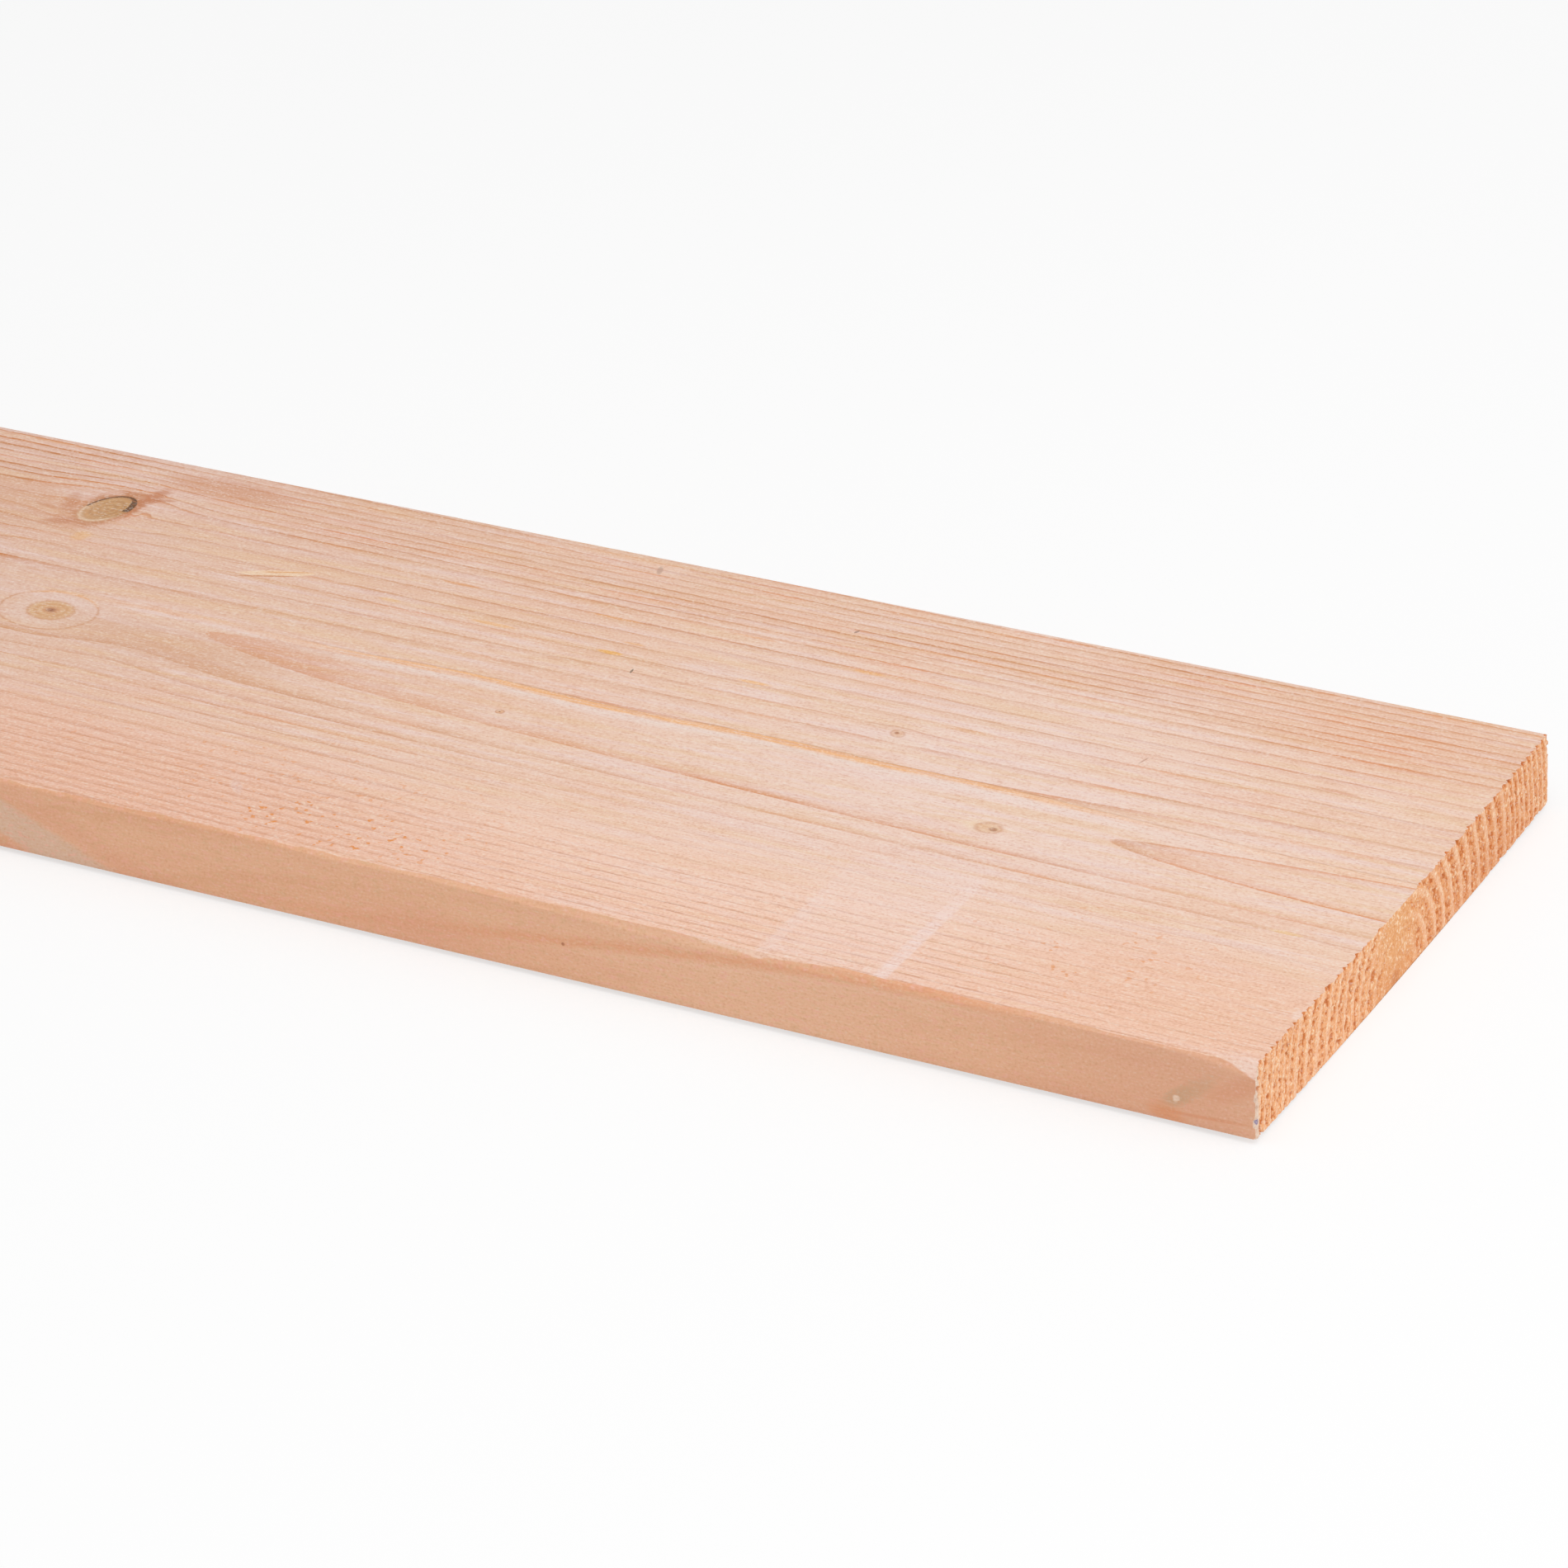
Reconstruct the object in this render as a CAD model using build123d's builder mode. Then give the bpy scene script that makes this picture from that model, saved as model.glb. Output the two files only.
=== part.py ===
# Sawn softwood plank in millimetres, one piece of stock, lying on its underside.
# X runs along the grain, Y across the width and Z up. The origin is on the floor, under the plank's middle.
# The plank was sawn with the heart of the tree below it and has cupped in drying, so both long edges have lifted.
# The -Y edge lay close to the bark. Its top arris is a narrow, wavy strip of wane,
# which runs out in a worn corner at the +X end. The other arrises are as the saw left them, lightly broken.

from build123d import *
import os

# Size of the stock
length = 1800.0
width = 200.0
thickness = 22.0

# Lift of the long edges above the middle of the underside
cup = 1.5

# Break on the sawn arrises
arris = 0.4

# Even wane on the -Y top arris, as a drop down the edge face and a setback across the top face
wane_drop = 0.6
wane_setback = 0.7

# Deeper, wavy wane towards the +X end. Each station is a distance from that end, a drop and a setback.
wane_stations = [
    (0.0, 3.8, 2.6),
    (5.0, 2.9, 2.1),
    (10.0, 1.8, 1.5),
    (17.0, 0.8, 0.9),
    (30.0, 0.5, 0.6),
    (60.0, 0.5, 0.6),
    (85.0, 1.0, 0.8),
    (110.0, 1.6, 0.8),
    (140.0, 2.2, 1.3),
    (170.0, 2.7, 1.0),
    (200.0, 1.8, 1.2),
    (230.0, 1.0, 1.3),
    (255.0, 0.6, 0.8),
    (278.0, 1.3, 1.4),
    (310.0, 0.6, 0.7),
    (345.0, 1.1, 1.0),
    (375.0, 0.7, 0.8),
    (405.0, 1.0, 1.0),
    (440.0, wane_drop, wane_setback),
]

# How far the wane's cutter runs past both ends
overrun = 2.0

edge_height = cup + thickness
end_x = length / 2


def wane_section(distance, drop, setback):
    """Triangle across the arris. Its long side meets the edge face at the drop and the top face at the setback."""
    low = (-width / 2 - setback, edge_height - 2 * drop)
    high = (-width / 2 + 2 * setback, edge_height + drop)
    outer_corner = (low[0], high[1])
    with BuildSketch(Plane.YZ.offset(end_x - distance)) as section:
        with BuildLine():
            Polyline(low, high, outer_corner, close=True)
        make_face()
    return section.sketch


def wane_sections():
    """Sections from just past the worn corner to just past the far end."""
    first_distance, first_drop, first_setback = wane_stations[0]
    sections = [wane_section(first_distance - overrun, first_drop, first_setback)]
    sections += [wane_section(*station) for station in wane_stations]
    sections.append(wane_section(length + overrun, wane_drop, wane_setback))
    return sections


with BuildPart() as wane:
    loft(wane_sections(), ruled=True)

with BuildPart() as plank:
    # Cupped section, cut square at both ends
    with BuildSketch(Plane.YZ.offset(-end_x)):
        with BuildLine():
            ThreePointArc((-width / 2, cup), (0, 0), (width / 2, cup))
            Line((width / 2, cup), (width / 2, edge_height))
            ThreePointArc((width / 2, edge_height), (0, thickness), (-width / 2, edge_height))
            Line((-width / 2, edge_height), (-width / 2, cup))
        make_face()
    extrude(amount=length)

    # Sawn arrises, both on the +Y edge and the lower one on the -Y edge
    far_arrises = plank.faces().sort_by(Axis.Y)[-1].edges().filter_by(Axis.X)
    near_arrises = plank.faces().sort_by(Axis.Y)[0].edges().filter_by(Axis.X).sort_by(Axis.Z)
    chamfer(far_arrises + near_arrises[:1], length=arris)

    # Wane
    add(wane.part, mode=Mode.SUBTRACT)

plank.part.label = "plank"

os.makedirs("parts", exist_ok=True)
export_step(plank.part, "parts/plank.step")
print("plank volume", round(plank.part.volume), "mm3")
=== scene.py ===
import math

import bmesh
import bpy
from mathutils import Matrix, Vector, noise


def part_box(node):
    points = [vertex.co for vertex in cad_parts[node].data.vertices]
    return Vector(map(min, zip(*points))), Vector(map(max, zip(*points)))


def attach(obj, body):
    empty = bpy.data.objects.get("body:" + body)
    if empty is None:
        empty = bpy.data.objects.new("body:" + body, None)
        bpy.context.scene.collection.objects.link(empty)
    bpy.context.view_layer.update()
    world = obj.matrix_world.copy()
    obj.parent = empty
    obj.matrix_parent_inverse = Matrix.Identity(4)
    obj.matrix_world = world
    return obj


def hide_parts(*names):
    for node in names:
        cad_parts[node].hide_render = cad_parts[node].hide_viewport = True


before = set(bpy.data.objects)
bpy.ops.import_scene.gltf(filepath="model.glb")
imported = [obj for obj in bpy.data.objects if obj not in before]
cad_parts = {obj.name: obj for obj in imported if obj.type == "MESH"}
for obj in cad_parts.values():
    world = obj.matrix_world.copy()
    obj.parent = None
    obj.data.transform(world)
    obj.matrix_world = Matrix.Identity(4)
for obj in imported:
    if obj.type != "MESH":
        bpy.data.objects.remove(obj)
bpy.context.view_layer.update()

# A sawn softwood plank, seen from above its photographed end. X runs along the grain, Y across, Z up.
mm = 0.001
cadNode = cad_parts["plank"]
low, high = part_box("plank")
endX = high.x
nearY = low.y
farY = high.y
fullLength = (high.x - low.x) / mm


# Camera at the photograph's viewing angle

viewpoint = {
    "location": (1.460787, -1.334884, 0.832484),
    "azimuth": 29.378,
    "elevation": 28.065,
    "roll": -2.706,
    "lens": 141.11,
}


def placeCamera():
    azimuth = math.radians(viewpoint["azimuth"])
    tilt = math.radians(90 - viewpoint["elevation"])
    roll = math.radians(viewpoint["roll"])
    turn = Matrix.Rotation(azimuth, 3, "Z") @ Matrix.Rotation(tilt, 3, "X") @ Matrix.Rotation(roll, 3, "Z")
    bpy.ops.object.camera_add(location=viewpoint["location"], rotation=turn.to_euler())
    camera = bpy.context.object
    camera.name = "photoCamera"
    camera.data.lens = viewpoint["lens"]
    camera.data.sensor_width = 36
    camera.data.clip_start = 0.05
    bpy.context.scene.camera = camera
    print("camera placed")


# Growth rings, shared by the mesh and the material. All in millimetres: along is the distance
# from the +X end, across is Y and up is Z. Each call takes plain numbers or material values.

rings = {
    "pithAcross": -7.6,       # the heart's line, at the photographed end
    "pithSwing": 7.0,         # how far the heart wanders towards +Y, and over what length
    "pithSwingLength": 800.0,
    "pithUp": 1.12,
    "pithFall": 0.01916,      # the heart sinks away from the photographed end
    "growthLean": 0.10,       # rings are wider on the +Y side of the heart
    "flatRise": 0.9,          # over the heart the rings are flattened
    "flatReach": 8.0,
    "farShift": 1.7,          # and on the +Y side they lie further out
    "nearSpread": 0.28,       # far out on the -Y side they stand further apart
    "nearFrom": 45.0,
    "firstRing": 25.5,
    "innerWidth": 6.25,
    "outerWidth": 3.4,
    "outerFrom": 76.5,
}


def heartAt(along):
    swing = 1 - cosine(along * (math.pi / rings["pithSwingLength"]))
    return swing * rings["pithSwing"] + rings["pithAcross"], rings["pithUp"] - along * rings["pithFall"]


def ringDistance(along, across, up):
    heartAcross, heartUp = heartAt(along)
    sideways = across - heartAcross
    upwards = up - heartUp
    straight = root(sideways * sideways + upwards * upwards)
    aside = sideways * (1 / rings["flatReach"])
    flat = power(aside * aside * -1) * rings["flatRise"] - eased(sideways, 8, 24) * rings["farShift"]
    spread = larger(sideways * -1 - rings["nearFrom"], 0) * rings["nearSpread"]
    return straight * (1 + rings["growthLean"]) - sideways * rings["growthLean"] + flat - spread


def ringNumber(distance):
    denser = 1 / rings["outerWidth"] - 1 / rings["innerWidth"]
    outside = larger(distance - rings["outerFrom"], 0)
    return (distance - rings["firstRing"]) * (1 / rings["innerWidth"]) + outside * denser


# Helpers that take a number or a material value

def root(value):
    return value.maths("SQRT") if isinstance(value, Value) else math.sqrt(value)


def power(value):
    return value.maths("EXPONENT") if isinstance(value, Value) else math.exp(value)


def cosine(value):
    return value.maths("COSINE") if isinstance(value, Value) else math.cos(value)


def larger(value, least):
    return value.maths("MAXIMUM", least) if isinstance(value, Value) else max(value, least)


def eased(value, start, end):
    # 0 below start, 1 above end, smooth between
    if isinstance(value, Value):
        return value.wood.ramp(value, start, end)
    share = min(max((value - start) / (end - start), 0), 1)
    return share * share * (3 - 2 * share)


class Value:
    # a number that varies over the surface, so that material maths reads as plain expressions
    def __init__(self, wood, output):
        self.wood = wood
        self.output = output

    def maths(self, operation, *others):
        return self.wood.node("ShaderNodeMath", {"operation": operation}, [self, *others])

    def __add__(self, other):
        return self.maths("ADD", other)

    def __radd__(self, other):
        return self.maths("ADD", other)

    def __sub__(self, other):
        return self.maths("SUBTRACT", other)

    def __rsub__(self, other):
        return self.wood.node("ShaderNodeMath", {"operation": "SUBTRACT"}, [other, self])

    def __mul__(self, other):
        return self.maths("MULTIPLY", other)

    def __rmul__(self, other):
        return self.maths("MULTIPLY", other)

    def __truediv__(self, other):
        return self.maths("DIVIDE", other)


class Finish:
    # the nodes of one material, or of the world, and the few ways in which they are added
    def __init__(self, owner):
        self.owner = owner
        owner.use_nodes = True
        self.tree = owner.node_tree
        self.tree.nodes.clear()

    def node(self, kind, settings=None, inputs=None, output=0):
        made = self.tree.nodes.new(kind)
        for setting, value in (settings or {}).items():
            setattr(made, setting, value)
        pairs = inputs.items() if isinstance(inputs, dict) else enumerate(inputs or [])
        for place, value in pairs:
            if isinstance(value, Value):
                self.tree.links.new(value.output, made.inputs[place])
            else:
                made.inputs[place].default_value = value
        return Value(self, made.outputs[output])

    def finish(self, shader, kind="ShaderNodeOutputMaterial"):
        out = self.tree.nodes.new(kind)
        self.tree.links.new(shader.output, out.inputs["Surface"])

    def blend(self, first, second, factor):
        return self.node("ShaderNodeMix", {"data_type": "RGBA"}, {0: factor, 6: first, 7: second}, 2)

    def noise(self, places, cells, detail=2.0, roughness=0.5):
        # each place is a value or a plain seed, and its cell is how far apart the noise's bumps lie
        parts = [place * (1 / cell) for place, cell in zip(places, cells)]
        inputs = {"Vector": self.node("ShaderNodeCombineXYZ", None, parts),
                  "Scale": 1.0, "Detail": detail, "Roughness": roughness}
        return self.node("ShaderNodeTexNoise", {"noise_dimensions": "3D"}, inputs)

    def ramp(self, value, start, end):
        # 0 below start, 1 above end, smooth between; the other way round where start is above end
        least, most, before, after = (end, start, 1.0, 0.0) if start > end else (start, end, 0.0, 1.0)
        inputs = {0: value, 1: least, 2: most, 3: before, 4: after}
        return self.node("ShaderNodeMapRange", {"interpolation_type": "SMOOTHSTEP"}, inputs)

    def bell(self, value, centre, width):
        # 1 at the centre, falling off smoothly
        away = (value - centre) * (1 / width)
        return power(away * away * -1)

    def patch(self, along, across, centre, reach):
        # 1 at the centre, falling off smoothly both ways
        return self.bell(along, centre[0], reach[0]) * self.bell(across, centre[1], reach[1])

    def spot(self, along, across, centre, size, tilt=0.0):
        # squared distance from the centre of an ellipse, 1 at its edge
        first, second = self.turned(along - centre[0], across - centre[1], tilt)
        first = first * (1 / size[0])
        second = second * (1 / size[1])
        return first * first + second * second

    def turned(self, first, second, tilt):
        if tilt == 0:
            return first, second
        cosTilt = math.cos(math.radians(tilt))
        sinTilt = math.sin(math.radians(tilt))
        return first * cosTilt + second * sinTilt, second * cosTilt - first * sinTilt


def tone(red, green, blue):
    # a screen colour, 0 to 255, as the light it stands for
    def channel(level):
        level = level / 255
        return level / 12.92 if level <= 0.04045 else ((level + 0.055) / 1.055) ** 2.4
    return (channel(red), channel(green), channel(blue), 1.0)


# The plank's mesh

stock = {
    "thickness": 22.0,
    "cup": 1.5,
    "cupColumns": 8,
    "arris": 0.4,             # the three sawn arrises are worn this far
    "fineRun": 560.0,         # the run from the +X end that gets the finer mesh
    "fineCell": 3.5,
    "coarseCell": 25.0,
    "acrossCell": 2.4,
    "upCell": 1.6,
    "endRun": 8.0,            # short rows towards both ends
    "endCell": 0.8,
    "waneReach": 4.5,         # strip along the -Y top arris that takes the wane
    "waneCell": 0.5,
    "waneLevel": 18.0,        # the wane lies above this
    "waneFine": (2.5, 19.0),  # and gets short rows this far from the arris and above this height
    "featherReach": (4.0, 15.0),
    "featherCell": 0.55,
    "topFrom": 15.0,          # what lies above this belongs to the upper face
}

# Where the upper face gets a finer mesh: distance from the +X end and Y, reach along and across
fineAround = {
    "deadKnot": ((461, 64), (16, 15)),
    "splinter": ((389, 47), (13, 7)),
}

feather = {
    "across": (6.4, 11.3),    # Y of the raised grain at the photographed end, and further in
    "settles": (20.0, 150.0),
    "until": 432.0,           # it fades out here
    "fadeRun": 30.0,
    "wave": 0.8,
    "waveLength": 100.0,
    "waveFrom": (120.0, 200.0),
    "height": 0.35,
    "width": 1.1,
    "strip": (1.0, 17.0),     # Y of the strip that holds it
    "raggedCells": (6.0, 1.5),
}

torn = {
    "reach": 2.2,             # how far in from the end the mesh is moved
    "soft": 0.15,             # how far the soft part of each ring is torn back
    "pits": 0.7,
    "fine": 0.06,
    "topChips": 0.45,
    "chipHeight": 1.8,
    "heart": (-8.0, 15.0),    # Y and half width of the heart, whose rings hardly tear
    "hiddenShare": 0.8,       # the -X end is torn less
    "roughCells": (0.9, 0.55, 3.1),     # cells per millimetre across and up, and the noise's seed
    "pitCells": (1.1, 0.65, 9.7),
    "fineCells": (2.1, 1.6, 5.5),
    "chipCells": (1.1, 1.1, 7.4),
}


def startEditing(plank, kind):
    if bpy.context.mode != "EDIT_MESH":
        bpy.ops.object.mode_set(mode="EDIT")
    bpy.ops.mesh.select_mode(type=kind)
    bpy.ops.mesh.select_all(action="DESELECT")
    return bmesh.from_edit_mesh(plank.data)


def cutAcross(plank, axis, places):
    for place in places:
        startEditing(plank, "VERT")
        bpy.ops.mesh.select_all(action="SELECT")
        point = [place if axis == number else 0 for number in range(3)]
        normal = [1 if axis == number else 0 for number in range(3)]
        bpy.ops.mesh.bisect(plane_co=point, plane_no=normal)


def divideEdges(plank, axis, cuts, longest, inside):
    # edges along the axis, longer than the given length and inside the region, are cut
    mesh = startEditing(plank, "EDGE")
    for edge in mesh.edges:
        first, second = edge.verts[0].co, edge.verts[1].co
        length = edge.calc_length()
        if length > longest and abs(first[axis] - second[axis]) > 0.9 * length:
            edge.select_set(inside((first + second) / 2))
    bmesh.update_edit_mesh(plank.data)
    bpy.ops.mesh.subdivide(number_cuts=cuts)


def divideBetween(plank, axis, start, end, cell):
    cuts = round((end - start) / cell) - 1
    if cuts > 0:
        divideEdges(plank, axis, cuts, cell * 1.2, lambda middle: start < middle[axis] < end)


def blankPlank():
    thickness = stock["thickness"] * mm
    scale = (high.x - low.x, farY - nearY, thickness)
    bpy.ops.object.select_all(action="DESELECT")
    bpy.ops.mesh.primitive_cube_add(size=1, location=(0, 0, thickness / 2), scale=scale)
    bpy.ops.object.transform_apply(location=True, rotation=True, scale=True)
    plank = bpy.context.object
    plank.name = "plankTimber"
    return plank


def cupPlank(plank):
    # columns across the width, each lifted to the arc of the cup
    width = farY - nearY
    inner = [nearY + width * column / stock["cupColumns"] for column in range(1, stock["cupColumns"])]
    cutAcross(plank, 1, inner)
    for place in [nearY, *inner, farY]:
        mesh = startEditing(plank, "VERT")
        for vertex in mesh.verts:
            vertex.select_set(abs(vertex.co.y - place) < 0.1 * mm)
        bmesh.update_edit_mesh(plank.data)
        bpy.ops.transform.translate(value=(0, 0, stock["cup"] * mm * (place / farY) ** 2))
    return [nearY, *inner, farY]


def wearArrises(plank):
    # all the long arrises but the one that has the wane
    mesh = startEditing(plank, "EDGE")
    for edge in mesh.edges:
        middle = (edge.verts[0].co + edge.verts[1].co) / 2
        lengthwise = abs(edge.verts[0].co.x - edge.verts[1].co.x) > 10 * mm
        outer = abs(middle.y) > farY - 0.1 * mm
        waned = middle.y < 0 and middle.z > stock["thickness"] * mm
        edge.select_set(lengthwise and outer and not waned)
    bmesh.update_edit_mesh(plank.data)
    bpy.ops.mesh.bevel(offset=stock["arris"] * mm, segments=2)


def gridPlank(plank, columns):
    # strips across the width, with the thin ones where the wane and the feather lie
    waneTo = nearY + stock["waneReach"] * mm
    featherFrom, featherTo = [place * mm for place in stock["featherReach"]]
    cutAcross(plank, 1, [waneTo, featherFrom, featherTo])
    strips = sorted([*columns, waneTo, featherFrom, featherTo])
    for start, end in zip(strips, strips[1:]):
        cell = stock["acrossCell"]
        if end <= waneTo:
            cell = stock["waneCell"]
        elif featherFrom <= start and end <= featherTo:
            cell = stock["featherCell"]
        divideBetween(plank, 1, start, end, cell * mm)

    # rows along the length
    endRun = stock["endRun"] * mm
    rows = [low.x, low.x + endRun, endX - stock["fineRun"] * mm, endX - endRun, endX]
    cutAcross(plank, 0, rows[1:-1])
    for start, end, cell in zip(rows, rows[1:], ("endCell", "coarseCell", "fineCell", "endCell")):
        divideBetween(plank, 0, start, end, stock[cell] * mm)

    # levels through the thickness, closer at the waned arris
    level = stock["waneLevel"] * mm
    cutAcross(plank, 2, [level])
    divideBetween(plank, 2, 0, level, stock["upCell"] * mm)
    divideBetween(plank, 2, level, (stock["thickness"] + stock["cup"]) * mm, stock["waneCell"] * mm)


def refineEnds(plank):
    # the torn end grain of the +X end is finest
    reach = torn["reach"] * mm
    divideEdges(plank, 1, 3, 1.5 * mm, lambda middle: middle.x > endX - reach)
    divideEdges(plank, 2, 2, 1.0 * mm, lambda middle: middle.x > endX - reach)
    divideEdges(plank, 1, 1, 1.5 * mm, lambda middle: middle.x < low.x + reach)
    divideEdges(plank, 2, 1, 1.0 * mm, lambda middle: middle.x < low.x + reach)


def refineWane(plank):
    width, level = [size * mm for size in stock["waneFine"]]
    start, end = endX - stock["fineRun"] * mm, endX - stock["endRun"] * mm
    inside = lambda middle: middle.y < nearY + width and middle.z > level and start < middle.x < end
    divideEdges(plank, 0, 1, 2.0 * mm, inside)


def refineAround(plank, centre, reach):
    along, across = centre
    inside = lambda middle: (abs(endX - middle.x - along * mm) < reach[0] * mm
                             and abs(middle.y - across * mm) < reach[1] * mm
                             and middle.z > stock["topFrom"] * mm)
    divideEdges(plank, 0, 3, 2.0 * mm, inside)
    divideEdges(plank, 1, 3, 1.5 * mm, inside)


def wrapWane(plank):
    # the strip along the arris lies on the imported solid, whose wane it takes
    group = plank.vertex_groups.new(name="wane")
    level = (stock["thickness"] + stock["cup"] - stock["waneReach"]) * mm
    waneTo = nearY + stock["waneReach"] * mm
    strip = [v.index for v in plank.data.vertices if v.co.y < waneTo and v.co.z > level]
    group.add(strip, 1.0, "REPLACE")
    wrap = plank.modifiers.new("wane", "SHRINKWRAP")
    wrap.target = cadNode
    wrap.vertex_group = group.name
    bpy.ops.object.modifier_apply(modifier=wrap.name)
    plank.vertex_groups.remove(plank.vertex_groups[group.name])


# Vertex moves for what the saw and the grain left. The distances are in millimetres.

def tornNoise(kind, across, up):
    acrossCells, upCells, seed = torn[kind]
    return noise.noise(Vector((across * acrossCells, up * upCells, seed)))


def tornDepth(along, across, up):
    # soft wood tears back between the hard lines, and in pits
    number = ringNumber(ringDistance(along, across, up))
    phase = number - math.floor(number)
    soft = eased(phase, 0.0, 0.15) * (1 - eased(phase, 0.5, 0.85))
    heart, heartWidth = torn["heart"]
    soft *= 1 - 0.8 * math.exp(-((across - heart) / heartWidth) ** 2)
    pits = eased(tornNoise("pitCells", across, up), 0.02, 0.36)
    depth = torn["soft"] * soft * (0.7 + tornNoise("roughCells", across, up))
    depth += torn["pits"] * pits * (0.15 + 0.85 * soft)
    depth *= eased(up, 0.1, 1.2)
    # chips along the upper arris
    top = stock["thickness"] + stock["cup"] * (across / 100) ** 2
    chip = eased(tornNoise("chipCells", across, 2), -0.3, 0.4)
    depth += torn["topChips"] * chip * eased(up, top - torn["chipHeight"], top) * (0.1 + 0.9 * soft)
    return max(depth + torn["fine"] * (tornNoise("fineCells", across, up) + 1), 0)


def tearEnds(plank):
    # the depth is kept on the vertices too, where the wood's colour reads it
    depths = plank.data.attributes.new("torn", "FLOAT", "POINT")
    for vertex, kept in zip(plank.data.vertices, depths.data):
        place = vertex.co / mm
        along = endX / mm - place.x
        back = place.x - low.x / mm
        kept.value = 0
        if along < torn["reach"]:
            kept.value = tornDepth(0, place.y, place.z)
            vertex.co.x -= kept.value * (1 - along / torn["reach"]) * mm
        elif back < torn["reach"]:
            kept.value = torn["hiddenShare"] * tornDepth(fullLength, place.y, place.z)
            vertex.co.x += kept.value * (1 - back / torn["reach"]) * mm


def featherAcross(along):
    start, end = feather["across"]
    waveFrom, waveTo = feather["waveFrom"]
    waves = cosine((along - waveTo) * (math.tau / feather["waveLength"])) * feather["wave"]
    waves = waves * eased(along, waveFrom, waveTo)
    return eased(along, *feather["settles"]) * (end - start) + start + waves


def raiseGrain(plank):
    # the feather of grain beside the heart stands up in a thin ridge
    start, end = feather["strip"]
    until = feather["until"]
    alongCell, acrossCell = feather["raggedCells"]
    for vertex in plank.data.vertices:
        place = vertex.co / mm
        along = endX / mm - place.x
        if place.z < stock["topFrom"] or along > until or not start <= place.y <= end:
            continue
        away = (place.y - featherAcross(along)) / feather["width"]
        fade = 1 - eased(along, until - feather["fadeRun"], until)
        ragged = 0.6 + 0.8 * noise.noise(Vector((along / alongCell, place.y / acrossCell, 1.5)))
        vertex.co.z += feather["height"] * math.exp(-away * away) * fade * ragged * mm


def makePlank():
    plank = blankPlank()
    columns = cupPlank(plank)
    wearArrises(plank)
    gridPlank(plank, columns)
    refineWane(plank)
    refineEnds(plank)
    for centre, reach in fineAround.values():
        refineAround(plank, centre, reach)
    bpy.ops.object.mode_set(mode="OBJECT")
    wrapWane(plank)
    tearEnds(plank)
    raiseGrain(plank)
    bpy.ops.object.shade_smooth_by_angle(angle=math.radians(35))
    triangles = sum(len(face.vertices) - 2 for face in plank.data.polygons)
    print("plank mesh", len(plank.data.vertices), "vertices", triangles, "triangles")
    return plank


# The wood. It is one solid texture in the plank's own space, so the faces agree along every arris.

colours = {
    "fresh": tone(241, 206, 183),         # upper face at the photographed end
    "pale": tone(241, 212, 198),          # where it is palest
    "aged": tone(229, 191, 170),          # further in
    "rosy": tone(235, 189, 164),
    "peach": tone(249, 204, 181),         # towards the -Y arris
    "lilac": tone(238, 211, 205),
    "cream": tone(235, 197, 160),
    "line": tone(203, 134, 82),
    "warmLine": tone(222, 134, 70),
    "side": tone(235, 183, 147),
    "sideRosy": tone(231, 172, 139),
    "sideStreak": tone(230, 162, 121),
    "sideGrey": tone(222, 190, 166),
    "endNear": tone(243, 178, 126),
    "endFar": tone(233, 163, 108),
    "endHeart": tone(234, 170, 112),
    "endHard": tone(248, 206, 172),
    "endDark": tone(206, 114, 44),
    "endPale": tone(255, 228, 192),
    # painted highlight along the wane's lip
    "lipHighlight": tone(248, 208, 180),
    "frayed": tone(240, 210, 198),
    "featherCore": tone(244, 188, 136),
    "featherEdge": tone(240, 221, 213),
    "knot": tone(210, 166, 120),
    "knotGreen": tone(202, 156, 108),
    "knotRim": tone(230, 202, 172),
    "crack": tone(100, 68, 46),
    "knotHalo": tone(214, 152, 120),
    "knotHeart": tone(158, 102, 74),
    "knotPale": tone(233, 203, 188),
    "knotWarm": tone(222, 178, 126),
    "knotRings": tone(172, 122, 80),
    "knotSwirl": tone(198, 126, 86),
    "knotShade": tone(196, 132, 88),
    "pinHalo": tone(226, 178, 138),
    "pinRim": tone(206, 142, 104),
    "pinHeart": tone(168, 100, 62),
    "featherRim": tone(204, 152, 112),
    "nearLine": tone(190, 132, 108),      # lines close to the -Y arris
    "nearWarm": tone(238, 180, 150),
    "farPale": tone(238, 208, 196),       # by the +Y arris, beyond the dead knot
    "speck": tone(231, 149, 84),
    "speckPale": tone(252, 226, 200),
    "fibreDark": tone(210, 146, 108),
    "fibrePale": tone(248, 234, 222),
    "sidePale": tone(242, 198, 166),
    "sideUnder": tone(243, 200, 172),
    "sideUpper": tone(222, 152, 112),
    "sideRed": tone(224, 160, 128),
    "sidePink": tone(240, 180, 158),
    "sideCream": tone(222, 178, 136),
    "sideEnd": tone(226, 170, 140),
    "sidePin": tone(166, 102, 72),
    "endCore": tone(206, 132, 80),
    # painted highlight on the rounded upright arris by the -Y side of the end
    "endCornerHighlight": tone(226, 208, 192),
    "endInk": tone(120, 112, 160),
    "endFoot": tone(150, 104, 74),
}

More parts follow.
